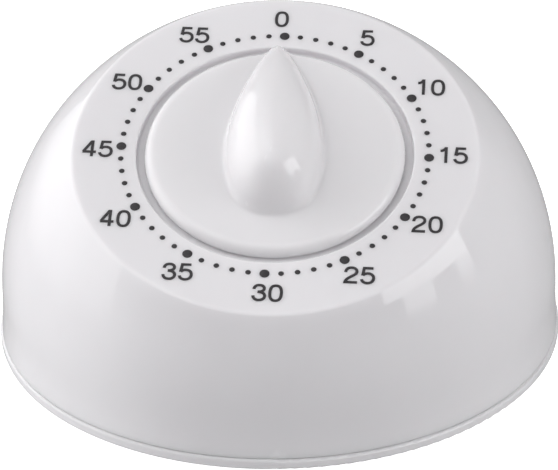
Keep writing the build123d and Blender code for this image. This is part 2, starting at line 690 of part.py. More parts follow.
# --- Escapement ----------------------------------------------------------------------------------
def escape_wheel():
    """Pointed teeth, set so that each pallet faces a gap when the anchor is level."""
    step = 360 / ESCAPE_TEETH
    half = degrees(ESCAPE_TOOTH_HALF / ESCAPE_ROOT)
    outline = []
    for index in range(ESCAPE_TEETH):
        middle = index * step
        outline.append(polar(ESCAPE_ROOT, middle - half))
        outline.append(polar(ESCAPE_TIP, middle - ESCAPE_TIP_HALF))
        outline.append(polar(ESCAPE_TIP, middle + ESCAPE_TIP_HALF))
        outline.append(polar(ESCAPE_ROOT, middle + half))
    face = make_face(Polyline(*outline, close=True)) - Circle(ARBOR_RADIUS)
    for angle in range(0, 360, 90):
        face = face - Pos(*polar(ESCAPE_WINDOW_CIRCLE, angle)) * Circle(ESCAPE_WINDOW)
    angle = heading(ESCAPE_AT, ANCHOR_AT) + PALLET_SPAN / 2 + step / 4
    return slab(face, ESCAPE_FRONT, ESCAPE_BACK, ESCAPE_AT, angle)


def anchor():
    """Two arms whose pallets dip between the escape wheel's teeth in turn."""
    middle = heading(ESCAPE_AT, ANCHOR_AT)
    face = Pos(*ANCHOR_AT) * Circle(ANCHOR_HUB)
    for side in (-1, 1):
        direction = middle + side * PALLET_SPAN / 2
        near = beyond(ESCAPE_AT, ESCAPE_TIP + PALLET_GAP, direction)
        far = beyond(ESCAPE_AT, ESCAPE_TIP + PALLET_GAP + PALLET_LENGTH, direction)
        face = face + bar(near, far, PALLET_THICK)
        face = face + bar(ANCHOR_AT, far, ANCHOR_ARM) + Pos(*far) * Circle(ANCHOR_ARM / 2)
    face = face - Pos(*ANCHOR_AT) * Circle(ARBOR_RADIUS)
    return slab(face, ESCAPE_FRONT - ANCHOR_OVERHANG, ESCAPE_BACK + ANCHOR_OVERHANG)


def beyond(at, distance, angle):
    """The point at this distance and direction from another point."""
    reach = polar(distance, angle)
    return (at[0] + reach[0], at[1] + reach[1])


def bar(start, end, width):
    length = sqrt((end[0] - start[0]) ** 2 + (end[1] - start[1]) ** 2)
    middle = ((start[0] + end[0]) / 2, (start[1] + end[1]) / 2)
    return Pos(*middle) * (Rot(0, 0, heading(start, end)) * Rectangle(length, width))


def inertia_wheel():
    """A heavy rim on one crossbar, whose swing times the tick."""
    rim = Circle(INERTIA_RADIUS) - Circle(INERTIA_RADIUS - INERTIA_RIM)
    crossbar = Rectangle(2 * INERTIA_RADIUS - INERTIA_RIM, INERTIA_RIM) + Circle(INERTIA_HUB)
    face = rim + crossbar - Circle(ARBOR_RADIUS)
    return slab(face, INERTIA_FRONT, INERTIA_BACK, ANCHOR_AT, INERTIA_ANGLE)


# --- Strike --------------------------------------------------------------------------------------
def hammer_arbor():
    front = FRONT_PLATE + PLATE + PIVOT_SHOULDER
    back = BACK_PLATE - PIVOT_SHOULDER
    shape = deep(HAMMER_ARBOR_RADIUS, front, back, HAMMER_AT)
    shape = shape + deep(HAMMER_PIVOT, FRONT_PLATE, front, HAMMER_AT)
    return shape + deep(HAMMER_REAR, back, HAMMER_BACK + HAMMER_RIVET, HAMMER_AT)


def hammer_finger():
    """The finger that rides over the cam and falls into its notch at zero."""
    angle = heading(HAMMER_AT, (0, 0))
    span = sqrt(HAMMER_AT[0] ** 2 + HAMMER_AT[1] ** 2) - CAM_RADIUS - FINGER_GAP
    blade = Pos(span / 2, 0) * Rectangle(span, FINGER_WIDTH) + Circle(FINGER_HUB)
    blade = blade - Circle(HAMMER_ARBOR_RADIUS)
    return slab(blade, CAM_FRONT, CAM_BACK, HAMMER_AT, angle)


def hammer_arm():
    blade = Pos(HAMMER_ARM / 2, 0) * Rectangle(HAMMER_ARM, ARM_WIDTH) + Circle(ARM_HUB)
    blade = blade + Pos(HAMMER_ARM, 0) * Circle(ARM_END)
    blade = blade - Circle(HAMMER_REAR) - Pos(HAMMER_ARM, 0) * Circle(HEAD_SPIGOT)
    return slab(blade, HAMMER_FRONT, HAMMER_BACK, HAMMER_AT, HAMMER_ARM_ANGLE)


def hammer_head():
    at = beyond(HAMMER_AT, HAMMER_ARM, HAMMER_ARM_ANGLE)
    weight = deep(HAMMER_HEAD_RADIUS, HAMMER_BACK, HAMMER_BACK + HAMMER_HEAD, at)
    return weight + deep(HEAD_SPIGOT, HAMMER_FRONT, HAMMER_BACK, at)


def hammer_spring():
    """A coil round the hammer's arbor, with one leg held against a pillar."""
    coil_path = Helix(HAMMER_COIL_PITCH, HAMMER_COIL_TURNS * HAMMER_COIL_PITCH, HAMMER_COIL)
    wire = Plane(origin=coil_path @ 0, z_dir=coil_path % 0) * Circle(HAMMER_WIRE)
    coil = Pos(HAMMER_AT[0], HAMMER_AT[1], -HAMMER_COIL_BACK) * sweep(wire, path=coil_path)
    pillar = pillar_places()[1]
    start = (HAMMER_AT[0] + HAMMER_COIL, HAMMER_AT[1])
    run = Vector(pillar[0] - start[0] + PILLAR_RADIUS + HAMMER_WIRE, pillar[1] - start[1], 0)
    leg_plane = Plane(origin=(start[0], start[1], -HAMMER_COIL_BACK), z_dir=run.normalized())
    return coil + extrude(leg_plane * Circle(HAMMER_WIRE), run.length)


def bell():
    """A spun cup, open towards the movement."""
    cup = deep(BELL_RADIUS, BELL_RIM, BELL_BACK)
    inner = deep(BELL_RADIUS - BELL_WALL, BELL_RIM, BELL_BACK - BELL_WALL)
    cup = fillet(cup.edges().sort_by(Axis.Z)[0], BELL_CORNER)
    inner = fillet(inner.edges().sort_by(Axis.Z)[0], BELL_CORNER - BELL_WALL)
    shape = cup - inner - deep(SCREW_SHANK + RUNNING, BELL_RIM, BELL_BACK)
    return Pos(*BELL_AT, 0) * shape


def bell_post():
    surface = BACK_PLATE + PLATE
    post = slab(RegularPolygon(BELL_POST, 6), surface, BELL_BACK - BELL_WALL, BELL_AT)
    thread = deep(SCREW_SHANK, BELL_BACK - BELL_WALL - THREAD, BELL_BACK - BELL_WALL, BELL_AT)
    return post + deep(BELL_SPIGOT, BACK_PLATE, surface, BELL_AT) - thread


def bell_screw():
    return cheese_screw(BELL_AT, BELL_BACK, BELL_WALL + THREAD - THREAD_SPARE)


# --- Assembly ------------------------------------------------------------------------------------
STANDING_PARTS = {
    "upper_housing": upper_housing,
    "base_plate": base_plate,
    "rubber_feet": rubber_feet,
    "base_screws": base_screws,
}


def second_arbor():
    return arbor(SECOND_AT, GREAT_MODULE, (0, 0), GREAT_FRONT, GREAT_BACK)


def second_wheel():
    return wheel(
        SECOND_TEETH, SECOND_MODULE, SECOND_FRONT, SECOND_BACK, SECOND_AT, THIRD_AT, ARBOR_RADIUS
    )


def third_arbor():
    return arbor(THIRD_AT, SECOND_MODULE, SECOND_AT, SECOND_FRONT, SECOND_BACK)


def third_wheel():
    return wheel(
        THIRD_TEETH, THIRD_MODULE, THIRD_FRONT, THIRD_BACK, THIRD_AT, ESCAPE_AT, ARBOR_RADIUS
    )


def escape_arbor():
    return arbor(ESCAPE_AT, THIRD_MODULE, THIRD_AT, THIRD_FRONT, THIRD_BACK)


def anchor_arbor():
    return shaft(ANCHOR_AT)


DIAL_PARTS = {
    "knob": knob,
    "main_arbor": main_arbor,
    "arbor_clip": arbor_clip,
    "ratchet_wheel": ratchet_wheel,
    "great_wheel": great_wheel,
    "click": click,
    "click_stud": click_stud,
    "trip_cam": trip_cam,
    "front_plate": front_plate,
    "back_plate": back_plate,
    "pillars": pillars,
    "pillar_screws": pillar_screws,
    "movement_screws": movement_screws,
    "mainspring": mainspring,
    "spring_post": spring_post,
    "second_arbor": second_arbor,
    "second_wheel": second_wheel,
    "third_arbor": third_arbor,
    "third_wheel": third_wheel,
    "escape_arbor": escape_arbor,
    "escape_wheel": escape_wheel,
    "anchor_arbor": anchor_arbor,
    "anchor": anchor,
    "inertia_wheel": inertia_wheel,
    "hammer_arbor": hammer_arbor,
    "hammer_finger": hammer_finger,
    "hammer_arm": hammer_arm,
    "hammer_head": hammer_head,
    "hammer_spring": hammer_spring,
    "bell": bell,
    "bell_post": bell_post,
    "bell_screw": bell_screw,
}

for name, make in STANDING_PARTS.items():
    export_step(make(), f"parts/{name}.step")
for name, make in DIAL_PARTS.items():
    export_step(DIAL.location * make(), f"parts/{name}.step")
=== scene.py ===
import json
from math import atan2, cos, degrees, pi, radians, sin, sqrt, tan

import bpy
from mathutils import Matrix, Vector


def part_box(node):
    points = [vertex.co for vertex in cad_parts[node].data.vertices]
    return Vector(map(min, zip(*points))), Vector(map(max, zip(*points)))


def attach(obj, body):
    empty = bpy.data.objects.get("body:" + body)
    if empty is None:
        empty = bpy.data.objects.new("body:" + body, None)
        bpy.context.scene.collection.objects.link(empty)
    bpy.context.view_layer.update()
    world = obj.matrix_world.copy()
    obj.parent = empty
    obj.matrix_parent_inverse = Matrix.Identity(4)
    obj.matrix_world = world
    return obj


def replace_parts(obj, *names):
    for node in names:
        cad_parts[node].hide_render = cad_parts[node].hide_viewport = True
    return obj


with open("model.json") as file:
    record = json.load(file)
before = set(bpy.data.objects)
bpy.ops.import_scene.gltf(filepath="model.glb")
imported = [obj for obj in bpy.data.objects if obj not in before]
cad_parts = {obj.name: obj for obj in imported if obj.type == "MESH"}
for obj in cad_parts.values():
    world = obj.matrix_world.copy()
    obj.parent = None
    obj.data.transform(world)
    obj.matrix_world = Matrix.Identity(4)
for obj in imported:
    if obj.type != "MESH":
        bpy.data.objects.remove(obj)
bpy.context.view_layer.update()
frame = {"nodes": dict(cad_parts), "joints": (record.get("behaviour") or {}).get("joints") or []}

# The looks of a sixty-minute dome timer. Shapes are drawn in millimetres, the dial's own in its
# frame: x to the right, y up the slope, z out of the dial, origin on the knob's axis.
MM = 0.001

# --- Places taken from the frame ------------------------------------------------------------------
HINGE = next(joint for joint in frame["joints"] if joint["name"] == "knob_turn")
DIAL_CENTRE = Vector(HINGE["pos_m"])
NORMAL = Vector(HINGE["axis"]).normalized()
RIM_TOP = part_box("upper_housing")[0].z / MM
SKIRT_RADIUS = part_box("upper_housing")[1].x / MM
KNOB_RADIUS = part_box("knob")[1].x / MM
PAD_LOW, PAD_HIGH = (corner.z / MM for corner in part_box("rubber_feet"))

# --- Housing --------------------------------------------------------------------------------------
DOME_RADIUS = 47.35
DIAL_DISTANCE = 33.46     # from the dome's centre to the dial
WALL = 2.2
DIAL_EDGE_RADIUS = 1.1
SKIRT_EDGE = 0.15
RECESS_RADIUS = 22.86
RECESS_EDGE = 0.35
RECESS_DEPTH = 1.3
RECESS_CORNER = 0.4
SHAFT_HOLE = 4.0
SHAFT_LIP = 0.3           # width of the ring of faces round the shaft's hole
DIAL_CIRCLES = (0.1, 0.5, 0.95)  # shares of the dial's width at which it has a row of points
POST_RADIUS, POST_BORE = 3.4, 1.45
POST_CIRCLE = 40.0
POST_ANGLES = (45, 135, 225, 315)
BOSS_RADIUS, BOSS_BORE = 3.5, 1.25
BOSS_CIRCLE = 12.0
BOSS_ANGLES = (90, 210, 330)
BOSS_BACK = 6.6
SOFT_EDGE = 0.2           # chamfer of the posts' and bosses' feet
CUP_CHAMFER = 0.5         # inside the wall, where the dial turns into the recess's cup
HOUSING_STEPS = 256       # points round the housing
DOME_ROWS, SKIRT_ROWS = 36, 6
TUBE_STEPS = 32

# --- Knob -----------------------------------------------------------------------------------------
KNOB_ANGLE = -1.2         # degrees from straight up the slope, anticlockwise positive
CROWN_HEIGHT = 1.5
SHOULDER_HEIGHT = 0.95
EDGE_ROUND = 1.7
KNOB_SKIRT = 0.9
KNOB_WALL = 1.8
HUB_RADIUS, HUB_DEPTH = 3.5, 4.9
BORE_RADIUS, BORE_TOP = 2.5, 5.0
GRIP_HALF_WIDTH = 8.43
GRIP_WIDEST = -1.0
GRIP_TIP, GRIP_TAIL = 22.25, -14.3
TIP_HANDLES = (9.0, 2.0)  # reach of the outline's curve from the widest place and from the tip
TAIL_HANDLES = (8.0, 6.2)
CREST_HEIGHT, CREST_TIP_HEIGHT = 10.5, 1.7
CREST_BACK, CREST_FRONT = -7.0, 20.0
CREST_PAST_TIP = 0.4      # the crest's curve ends this far beyond the tip
GRIP_FILLET, TIP_FILLET = 1.1, 0.12
TIP_FILLET_FROM, TIP_FILLET_RUN = 12, 10  # where the fillet starts to shrink, and over how far
FILLET_INSET = 0.5        # share of the fillet that lies inside the grip's outline
FILLET_HANDLES = (0.55, 0.45)  # reach of the fillet's curve on the flank and on the disc
FLANK_TOP, FLANK_FOOT = 88, 14  # angles on the flank's curve next to the crest and where the fillet starts
KNOB_STEPS = 256          # points round the knob, a multiple of 4
GRIP_ROWS, FILLET_ROWS, DISC_ROWS, EDGE_ROWS = 28, 8, 16, 8
BEAK_MARGIN, BEAK_BLEND = 0.15, 0.5  # the rim's way outside the tip, and how softly it leaves the circle
EDGE_SHARE, EDGE_BLEND, EDGE_LEAST = 0.9, 0.3, 0.08  # keep the edge's round within the disc at the tip
RIM_CHAMFER = 0.12
RIM_HEIGHTS = (0.14, 0.06)  # over the rim's foot, where the beak has mostly and then fully gone
RIM_BEAK_LEFT = 0.3       # share of the beak that is left at the upper of the two
UNDERSIDE_DRAFT, UNDERSIDE_FALL = 0.15, 0.2
HUB_FILLET, HUB_CHAMFER = 0.4, 0.2

# --- Dial print -----------------------------------------------------------------------------------
PRINT_ANGLE = -3.62       # degrees that the printed scale is turned about the dial's axis
DOT_CIRCLE = 25.35
DOT_RADIUS, BIG_DOT_RADIUS = 0.46, 0.82
NUMBER_CIRCLE = 29.2
NUMBER_LEAD = 1.4         # degrees that a number stands anticlockwise of its dot
DIGIT_HEIGHT = 3.35
DIGIT_ADVANCE = 2.65
DIGIT_STROKE = 0.5
INK_HEIGHT = 0.03
LAYER_RISE = 0.15         # a digit's later strokes stand this share of the ink's height above the earlier
DOT_STEPS = 28
DOT_TOP, DOT_SHOULDER = 0.95, 0.6  # radius of a dot's top and height of its edge, as shares
CURVE_STEPS = 14
MITRE_LIMIT = 2.2

# --- Feet -----------------------------------------------------------------------------------------
PAD_CIRCLE, PAD_RADIUS = 38.0, 5.0
PAD_ANGLES = (0, 90, 180, 270)
PAD_EDGE = 0.25
PAD_LIP = 1.0             # width of the flat ring round the pad's dish
PAD_DISH, PAD_DISH_SLOPE = 0.12, 0.3
PAD_MIDDLE = 0.01         # radius at which the pad's outline stops short of its axis
PAD_STEPS = 48

# --- Materials ------------------------------------------------------------------------------------
# Each slot's name for its material, light colour, shaded colour and roughness.
PLASTICS = {
    "housing_white": ("housing_white_plastic", (0.806, 0.792, 0.812), (0.782, 0.768, 0.788), 0.04),
    "base_white": ("base_white_plastic", (0.786, 0.772, 0.792), (0.761, 0.748, 0.768), 0.2),
    "knob_white": ("knob_white_plastic", (0.806, 0.792, 0.81), (0.786, 0.772, 0.79), 0.04),
}
# The same, and the working marks' scale along x, y and z.
METALS = {
    "screw_steel": ("screw_chrome", (0.78, 0.78, 0.79), (0.66, 0.66, 0.67), 0.2, (4000, 4000, 4000)),
    "plate_steel": ("plate_rolled_steel", (0.62, 0.62, 0.63), (0.52, 0.52, 0.54), 0.34, (9000, 300, 9000)),
    "arbor_steel": ("arbor_turned_steel", (0.68, 0.68, 0.69), (0.56, 0.56, 0.58), 0.24, (300, 300, 12000)),
    "wheel_brass": ("wheel_brass_sheet", (0.86, 0.67, 0.32), (0.72, 0.53, 0.24), 0.28, (9000, 300, 9000)),
    "spring_steel": ("spring_blued_steel", (0.30, 0.33, 0.42), (0.20, 0.22, 0.32), 0.3, (6000, 6000, 500)),
    "bell_steel": ("bell_plated_steel", (0.80, 0.80, 0.81), (0.70, 0.70, 0.71), 0.14, (5000, 5000, 700)),
}

# --- Camera and lights ----------------------------------------------------------------------------
CAMERA_AZIMUTH, CAMERA_ELEVATION, CAMERA_ROLL = 1.042, 28.383, 1.09
CAMERA_DISTANCE = 0.62965
CAMERA_TARGET = Vector((0.00018, 0.0, 0.0175))
CAMERA_LENS = 238.35
# Windows: azimuths of the upright edges (0 in front, 90 to the right), elevations, radiance, and
# the share of the height, from the foot up, over which the light fades in.
WINDOWS = {
    "left_window": ((-150, -69), (-12, 42), 1.2, 0.3),
    "right_window": ((44, 88), (9, 32), 3.0, 0.02),
    "right_window_foot": ((52, 66.5), (0, 9), 2.0, 0.4),
    "right_window_side": ((80, 88), (-1, 9), 1.8, 0.6),
}
# Softboxes, which fade from their middle to their edges: azimuth, elevation, width, height, radiance.
SOFTBOXES = {
    "left_fill": (-100, 35, 2.4, 2.0, 0.9),
    "left_floor": (-95, -22, 1.8, 1.2, 0.4),
    "left_floor_front": (-70, -22, 1.6, 1.2, 0.5),
    "left_low": (-55, 2, 1.2, 1.0, 0.2),
    "left_top": (-90, 68, 1.4, 1.4, 0.65),
    "front_top": (0, 55, 1.4, 1.2, 1.0),
    "right_fill": (95, 35, 2.2, 2.0, 0.4),
    "right_floor": (85, -22, 1.6, 1.2, 0.25),
}
LIGHT_DISTANCE = 1.0
SKY, GROUND = 0.23, 0.39
SWEEP_GLOW = 1.02
SWEEP_MIDDLE, SWEEP_RADIUS, SWEEP_CORNER, SWEEP_HEIGHT = 0.5, 3.0, 1.0, 2.5
SWEEP_STEPS = 96


# --- Frames of reference --------------------------------------------------------------------------
def dial_frame():
    """Carries millimetres in the dial's frame to metres in the object's."""
    right = Vector((1, 0, 0))
    up_slope = NORMAL.cross(right)
    turn = Matrix((right, up_slope, NORMAL)).transposed().to_4x4()
    return Matrix.Translation(DIAL_CENTRE) @ turn @ Matrix.Scale(MM, 4)


DIAL = dial_frame()
STANDING = Matrix.Scale(MM, 4)
DOME_CENTRE = DIAL_CENTRE / MM - NORMAL * DIAL_DISTANCE


def turned(angle):
    return Matrix.Rotation(radians(angle), 4, "Z")


def polar(radius, angle):
    return (radius * cos(radians(angle)), radius * sin(radians(angle)))


# --- Mesh helpers ---------------------------------------------------------------------------------
def add_piece(name, points, faces, place, body, material, smooth_angle=40.0):
    """A mesh piece in the object's frame, with smooth shading and its hard edges kept sharp."""
    mesh = bpy.data.meshes.new(name)
    mesh.from_pydata([place @ Vector(point) for point in points], [], faces)
    mesh.update()
    mesh.shade_smooth()
    mesh.set_sharp_from_angle(angle=radians(smooth_angle))
    piece = bpy.data.objects.new(name, mesh)
    bpy.context.scene.collection.objects.link(piece)
    mesh.materials.append(material)
    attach(piece, body)
    return piece


def ring_faces(rows, steps, closed=False):
    """Quads between rows of points that each run once round."""
    faces = []
    for row in range(rows if closed else rows - 1):
        low = row * steps
        high = (row + 1) % rows * steps
        for step in range(steps):
            after = (step + 1) % steps
            faces.append((low + step, low + after, high + after, high + step))
    return faces


def revolved(profile, steps, at=(0, 0)):
    """Points and faces of a closed ring solid: its outline, (radius, height) pairs, turned about z."""
    points = []
    for radius, height in profile:
        for step in range(steps):
            x, y = polar(radius, 360 * step / steps)
            points.append((at[0] + x, at[1] + y, height))
    return points, ring_faces(len(profile), steps, closed=True)


def joined(solids):
    """Several (points, faces) pairs as one."""
    points, faces = [], []
    for some_points, some_faces in solids:
        start = len(points)
        points += some_points
        faces += [tuple(start + index for index in face) for face in some_faces]
    return points, faces


def arc(centre, radius, start, end, steps):
    """Points (radius, height) on an arc of a profile, the angles measured from outwards."""
    places = []
    for step in range(steps + 1):
        angle = radians(start + (end - start) * step / steps)
        places.append((centre[0] + radius * cos(angle), centre[1] + radius * sin(angle)))
    return places


def share(low, high, amount):
    return low + (high - low) * amount


def smooth_step(value):
    value = min(max(value, 0.0), 1.0)
    return value * value * (3 - 2 * value)


# --- Materials ------------------------------------------------------------------------------------
def new_material(name):
    material = bpy.data.materials.new(name)
    material.use_nodes = True
    nodes = material.node_tree.nodes
    return material, nodes, material.node_tree.links, nodes["Principled BSDF"]


def object_space(nodes, links, scale=(1, 1, 1), turn=(0, 0, 0)):
    """The piece's own coordinates in metres, stretched and turned."""
    coordinates = nodes.new("ShaderNodeTexCoord")
    mapping = nodes.new("ShaderNodeMapping")
    mapping.inputs["Scale"].default_value = scale
    mapping.inputs["Rotation"].default_value = turn
    links.new(coordinates.outputs["Object"], mapping.inputs["Vector"])
    return mapping.outputs["Vector"]


def noise(nodes, links, vector, scale, detail=3.0, roughness=0.5):
    texture = nodes.new("ShaderNodeTexNoise")
    texture.inputs["Scale"].default_value = scale
    texture.inputs["Detail"].default_value = detail
    texture.inputs["Roughness"].default_value = roughness
    links.new(vector, texture.inputs["Vector"])
    return texture.outputs["Fac"]


def spread(nodes, links, value, low, high, from_low=0.3, from_high=0.7):
    """A texture's value carried to a range of roughness or of anything else."""
    node = nodes.new("ShaderNodeMapRange")
    node.inputs["From Min"].default_value = from_low
    node.inputs["From Max"].default_value = from_high
    node.inputs["To Min"].default_value = low
    node.inputs["To Max"].default_value = high
    links.new(value, node.inputs["Value"])
    return node.outputs["Result"]


def blended(nodes, links, amount, first, second):
    """A colour between two, by a texture's value. Either may be a colour or another node's output."""
    node = nodes.new("ShaderNodeMix")
    node.data_type = "RGBA"
    links.new(amount, node.inputs["Factor"])
    for socket, colour in ((node.inputs["A"], first), (node.inputs["B"], second)):
        if isinstance(colour, tuple):
            socket.default_value = (*colour, 1.0)
        else:
            links.new(colour, socket)
    return node.outputs["Result"]


def bumped(nodes, links, layers):
    """A normal from several heights, each (value, strength, depth in metres)."""
    normal = None
    for value, strength, depth in layers:
        bump = nodes.new("ShaderNodeBump")
        bump.inputs["Strength"].default_value = strength
        bump.inputs["Distance"].default_value = depth
        links.new(value, bump.inputs["Height"])
        if normal:
            links.new(normal, bump.inputs["Normal"])
        normal = bump.outputs["Normal"]
    return normal


def edge_mask(nodes, links, low, high):
    """Near 1 on a mesh's outward edges and 0 elsewhere."""
    geometry = nodes.new("ShaderNodeNewGeometry")
    return spread(nodes, links, geometry.outputs["Pointiness"], 0.0, 1.0, low, high)


def white_plastic(name, light, shade, roughness):
    """Moulded plastic, slightly translucent, with faint clouds, fine grain, hairlines and rubbed edges."""
    material, nodes, links, shader = new_material(name)
    here = object_space(nodes, links)
    clouds = noise(nodes, links, here, 45.0, 4.0)
    grain = noise(nodes, links, here, 2600.0, 2.0)
    ripple = noise(nodes, links, here, 110.0, 1.0)
    along_hairs = object_space(nodes, links, (900, 60, 900), (0.4, 0.2, 0.9))
    hairs = noise(nodes, links, along_hairs, 1.0, 5.0, 0.7)
    body = blended(nodes, links, spread(nodes, links, clouds, 0.0, 1.0), shade, light)
    worn = edge_mask(nodes, links, 0.53, 0.62)
    rubbed = tuple(min(1.0, channel * 1.04) for channel in light)
    links.new(blended(nodes, links, worn, body, rubbed), shader.inputs["Base Color"])
    dulled = nodes.new("ShaderNodeMath")
    dulled.operation = "ADD"
    links.new(spread(nodes, links, clouds, roughness * 0.8, roughness * 1.3), dulled.inputs[0])
    links.new(spread(nodes, links, hairs, 0.0, 0.03, 0.58, 0.72), dulled.inputs[1])
    links.new(dulled.outputs["Value"], shader.inputs["Roughness"])
    relief = bumped(nodes, links, [(ripple, 0.2, 0.00004), (grain, 0.05, 0.00001)])
    links.new(relief, shader.inputs["Normal"])
    shader.inputs["IOR"].default_value = 1.5
    shader.inputs["Subsurface Weight"].default_value = 0.9
    shader.inputs["Subsurface Radius"].default_value = (1.0, 0.95, 0.95)
    shader.inputs["Subsurface Scale"].default_value = 0.0018
    return material


def ink():
    """Matt charcoal printing ink, a little uneven where the pad left less of it."""
    material, nodes, links, shader = new_material("dial_ink")
    here = object_space(nodes, links)
    patches = noise(nodes, links, here, 1400.0, 4.0, 0.6)
    fibres = noise(nodes, links, here, 6000.0, 2.0)
    amount = spread(nodes, links, patches, 0.0, 1.0)
    colour = blended(nodes, links, amount, (0.018, 0.016, 0.018), (0.04, 0.037, 0.04))
    links.new(colour, shader.inputs["Base Color"])
    links.new(spread(nodes, links, patches, 0.38, 0.55), shader.inputs["Roughness"])
    links.new(bumped(nodes, links, [(fibres, 0.3, 0.00001)]), shader.inputs["Normal"])
    return material


def rubber(name):
    """Dark moulded rubber with a matt, slightly dusty skin."""
    material, nodes, links, shader = new_material(name)
    here = object_space(nodes, links)
    dust = noise(nodes, links, here, 260.0, 6.0, 0.65)
    skin = noise(nodes, links, here, 3200.0, 3.0)
    amount = spread(nodes, links, dust, 0.0, 1.0, 0.4, 0.75)
    colour = blended(nodes, links, amount, (0.09, 0.09, 0.092), (0.16, 0.158, 0.155))
    links.new(colour, shader.inputs["Base Color"])
    links.new(spread(nodes, links, dust, 0.6, 0.85), shader.inputs["Roughness"])
    links.new(bumped(nodes, links, [(skin, 0.5, 0.00003)]), shader.inputs["Normal"])
    return material


def metal(name, light, shade, roughness, grain):
    """Bare metal with its working marks: grain is the texture's scale along x, y and z."""
    material, nodes, links, shader = new_material(name)
    tilt = (NORMAL.angle(Vector((0, 0, 1))), 0, 0)
    here = object_space(nodes, links)
    lines = noise(nodes, links, object_space(nodes, links, grain, tilt), 1.0, 4.0, 0.6)
    clouds = noise(nodes, links, here, 180.0, 4.0, 0.6)
    colour = blended(nodes, links, spread(nodes, links, clouds, 0.0, 1.0), shade, light)
    worn = edge_mask(nodes, links, 0.52, 0.6)
    bright = tuple(min(1.0, channel * 1.15) for channel in light)
    links.new(blended(nodes, links, worn, colour, bright), shader.inputs["Base Color"])
    links.new(spread(nodes, links, lines, roughness * 0.75, roughness * 1.35), shader.inputs["Roughness"])
    links.new(bumped(nodes, links, [(lines, 0.25, 0.00002)]), shader.inputs["Normal"])
    shader.inputs["Metallic"].default_value = 1.0
    return material


def sweep_paint():
    """Plain white sweep, mostly bright of its own, and clear from behind so that the base can be seen."""
    material, nodes, links, shader = new_material("studio_sweep")
    here = object_space(nodes, links)
    tone = noise(nodes, links, here, 6.0, 2.0)
    colour = blended(nodes, links, tone, (0.86, 0.86, 0.865), (0.88, 0.88, 0.88))
    links.new(colour, shader.inputs["Base Color"])
    shader.inputs["Roughness"].default_value = 0.9
    shader.inputs["Specular IOR Level"].default_value = 0.0
    shader.inputs["Emission Color"].default_value = (1.0, 1.0, 1.0, 1.0)
    shader.inputs["Emission Strength"].default_value = SWEEP_GLOW
    clear = nodes.new("ShaderNodeBsdfTransparent")
    sides = nodes.new("ShaderNodeMixShader")
    geometry = nodes.new("ShaderNodeNewGeometry")
    links.new(geometry.outputs["Backfacing"], sides.inputs["Fac"])
    links.new(shader.outputs["BSDF"], sides.inputs[1])
    links.new(clear.outputs["BSDF"], sides.inputs[2])
    links.new(sides.outputs["Shader"], nodes["Material Output"].inputs["Surface"])
    return material


def slot_materials():
    """One material for each of the record's slots."""
    found = {slot: white_plastic(*values) for slot, values in PLASTICS.items()}
    found["foot_rubber"] = rubber("foot_rubber_skin")
    found.update({slot: metal(*values) for slot, values in METALS.items()})
    return found


# --- Housing --------------------------------------------------------------------------------------
def dome_rows(inset, rows):
    """Rows of points in the dial's frame down the dome, from the dial's rim to the skirt's foot."""
    to_dial = DIAL.inverted() @ STANDING
    radius = DOME_RADIUS - inset
    if inset:
        start_angle = atan2(sqrt(radius**2 - (DIAL_DISTANCE - inset) ** 2), DIAL_DISTANCE - inset)
    else:
        start_angle = atan2(dial_edge_circle(), DIAL_DISTANCE - DIAL_EDGE_RADIUS)
    turn = DIAL.to_quaternion().to_matrix()
    found = []
    for row in range(rows + 1):
        ring = []
        for step in range(HOUSING_STEPS):
            x, y = polar(sin(start_angle), 360 * step / HOUSING_STEPS)
            start = turn @ Vector((x, y, cos(start_angle)))
            outward = Vector((start.x, start.y, 0)).normalized()
            drop = start.angle(outward) * row / rows
            side = (outward - start * start.dot(outward)).normalized()
            direction = start * cos(drop) + side * sin(drop)
            ring.append(to_dial @ (DOME_CENTRE + direction * radius))
        found.append(ring)
    equator = found[-1]
    for row in range(1, SKIRT_ROWS + 1):
        down = row / SKIRT_ROWS
        height = share(DOME_CENTRE.z, RIM_TOP + (0 if inset else SKIRT_EDGE), down)
        widen = 1 + (SKIRT_RADIUS - DOME_RADIUS) / radius * down * down
        ring = []
        for point in equator:
            standing = STANDING.inverted() @ DIAL @ point
            ring.append(to_dial @ Vector((standing.x * widen, standing.y * widen, height)))
        found.append(ring)
    return found


def dial_edge_circle():
    """Radius of the circle that the middle of the dial's rounded edge runs along."""
    return sqrt((DOME_RADIUS - DIAL_EDGE_RADIUS) ** 2 - (DIAL_DISTANCE - DIAL_EDGE_RADIUS) ** 2)


def flat_row(radius, height):
    return [
        Vector((*polar(radius, 360 * step / HOUSING_STEPS), height)) for step in range(HOUSING_STEPS)
    ]


